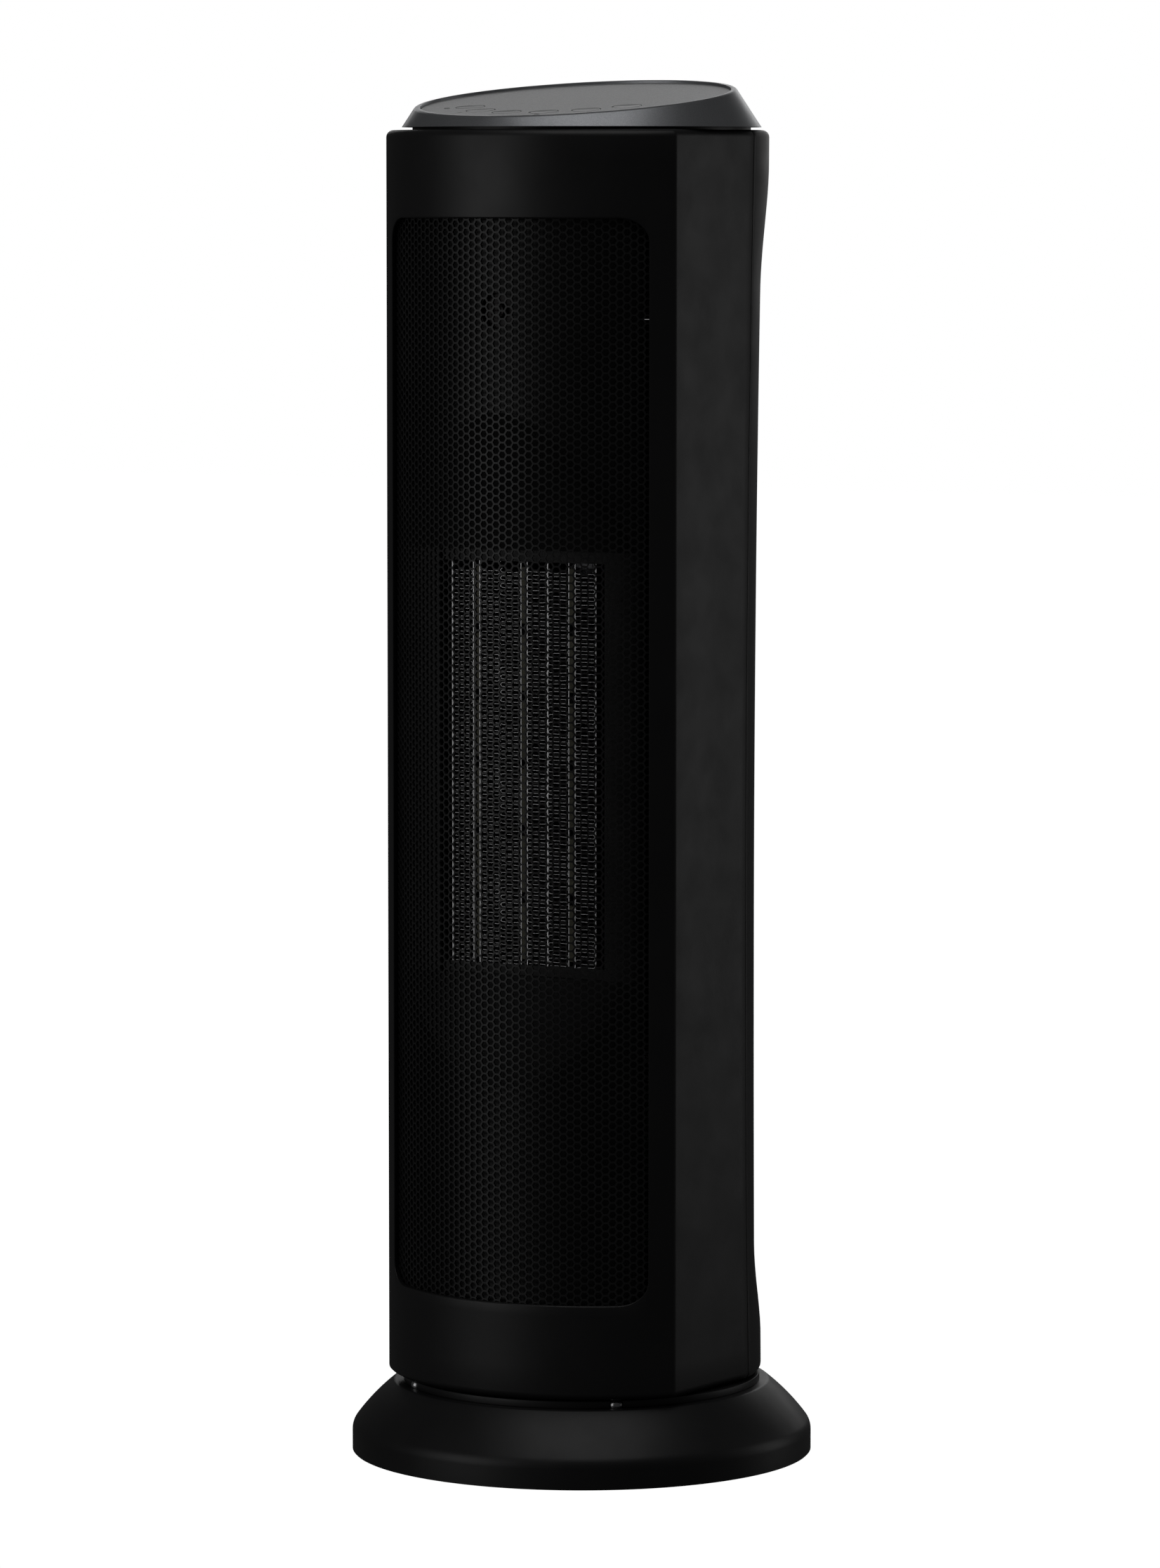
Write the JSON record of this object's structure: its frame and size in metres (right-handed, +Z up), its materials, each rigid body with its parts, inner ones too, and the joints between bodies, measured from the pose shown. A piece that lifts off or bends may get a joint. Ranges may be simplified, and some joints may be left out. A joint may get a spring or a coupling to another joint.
{
  "type": "tower ceramic space heater",
  "caption": "Oscillating tower heater: round base, swivelling body with curved hexagon-mesh front, ceramic core, crossflow blower, sloping cap with push buttons.",
  "frame": {"origin": "point on the floor under the middle of the round base, on the swivel axis", "axes": "+Z up along the tower, -Y out of the front grille, +X to the right seen from the front"},
  "size_m": [0.1966, 0.1966, 0.5857],
  "materials": {
    "shell_black": "satin moulded black",
    "base_black": "satin moulded black",
    "inner_black": "plain moulded black",
    "inner_grey": "plain moulded grey",
    "natural_plastic": "natural moulded acetal",
    "cap_grey": "satin gunmetal paint",
    "panel_grey": "fine speckled metallic",
    "button_grey": "satin silver grey",
    "mesh_black": "black painted expanded mesh",
    "steel": "bright zinc",
    "lamination": "laminated steel",
    "aluminium": "bare rolled aluminium",
    "ceramic": "unglazed grey beige ceramic",
    "copper": "enamelled copper winding",
    "bronze": "sintered bronze",
    "rubber": "soft black rubber",
    "foam": "open filter foam",
    "board_green": "green circuit board",
    "relay_blue": "blue relay case",
    "signal_orange": "orange moulded plastic",
    "lens_dark": "dark infrared window"
  },
  "bodies": {
    "base": {"base_cover": "base_black", "base_plate": "inner_black", "rubber_feet": "rubber", "base_screws": "steel", "swivel_ring": "base_black", "swivel_balls": "steel", "spindle": "inner_grey", "spindle_screws": "steel", "swivel_gear": "natural_plastic", "thrust_washer": "natural_plastic", "tip_switch": "inner_black", "cord_gland": "rubber"},
    "tip_plunger": {"tip_plunger": "signal_orange", "tip_spring": "steel"},
    "tower": {"tower_floor": "inner_grey", "swivel_bush": "natural_plastic", "floor_screws": "steel", "front_housing": "shell_black", "rear_housing": "shell_black", "housing_screws": "steel", "intake_grille": "shell_black", "intake_filter": "foam", "handle_cup": "shell_black", "front_grille": "mesh_black", "grille_frame": "inner_black", "air_deflector": "inner_black", "ptc_fins": "aluminium", "ptc_stones": "ceramic", "ptc_electrodes": "aluminium", "ptc_end_frames": "inner_black", "thermal_cutoff": "steel", "thermal_fuse": "ceramic", "lower_shelf": "inner_grey", "upper_shelf": "inner_grey", "blower_scroll": "inner_grey", "shaft_bushes": "bronze", "motor_stator": "lamination", "motor_coil": "copper", "motor_brackets": "aluminium", "swing_motor": "steel", "power_board": "board_green", "power_relays": "relay_blue", "terminal_block": "board_green", "control_board": "board_green", "tact_switches": "inner_black", "ir_receiver": "lens_dark", "top_cap": "cap_grey", "cap_screws": "steel", "control_panel": "panel_grey"},
    "rotor": {"blower_wheel": "inner_grey", "motor_rotor": "lamination", "motor_shaft": "steel"},
    "pinion": {"swivel_pinion": "natural_plastic"},
    "button_timer": {"button_timer": "button_grey"},
    "button_fan": {"button_fan": "button_grey"},
    "button_heat": {"button_heat": "button_grey"},
    "button_power": {"button_power": "button_grey"},
    "button_down": {"button_down": "button_grey"},
    "button_up": {"button_up": "button_grey"}
  },
  "joints": [
    {"name": "swivel", "type": "hinge", "parent": "base", "child": "tower", "pos_m": [0, 0, 0.035], "axis": [0, 0, 1], "range_deg": [-30, 30]},
    {"name": "pinion_spin", "type": "hinge", "parent": "tower", "child": "pinion", "pos_m": [0, 0.0375, 0.055], "axis": [0, 0, 1], "range_deg": [-125, 125]},
    {"name": "blower_spin", "type": "hinge", "parent": "tower", "child": "rotor", "pos_m": [0, 0.022, 0.3], "axis": [0, 0, 1], "continuous": true},
    {"name": "tip_slide", "type": "slide", "parent": "base", "child": "tip_plunger", "axis": [0, 0, 1], "range_m": [-0.004, 0], "stiffness_N_per_m": 40, "springref_m": -0.008, "deforming": ["tip_spring"]},
    {"name": "press_timer", "type": "slide", "parent": "tower", "child": "button_timer", "axis": [0, 0.1214, -0.9926], "range_m": [0, 0.001], "stiffness_N_per_m": 400, "springref_m": -0.0005},
    {"name": "press_fan", "type": "slide", "parent": "tower", "child": "button_fan", "axis": [0, 0.1214, -0.9926], "range_m": [0, 0.001], "stiffness_N_per_m": 400, "springref_m": -0.0005},
    {"name": "press_heat", "type": "slide", "parent": "tower", "child": "button_heat", "axis": [0, 0.1214, -0.9926], "range_m": [0, 0.001], "stiffness_N_per_m": 400, "springref_m": -0.0005},
    {"name": "press_power", "type": "slide", "parent": "tower", "child": "button_power", "axis": [0, 0.1214, -0.9926], "range_m": [0, 0.001], "stiffness_N_per_m": 400, "springref_m": -0.0005},
    {"name": "press_down", "type": "slide", "parent": "tower", "child": "button_down", "axis": [0, 0.1214, -0.9926], "range_m": [0, 0.001], "stiffness_N_per_m": 400, "springref_m": -0.0005},
    {"name": "press_up", "type": "slide", "parent": "tower", "child": "button_up", "axis": [0, 0.1214, -0.9926], "range_m": [0, 0.001], "stiffness_N_per_m": 400, "springref_m": -0.0005}
  ],
  "couplings": [
    {"joint": "pinion_spin", "follows": "swivel", "ratio": 4}
  ]
}
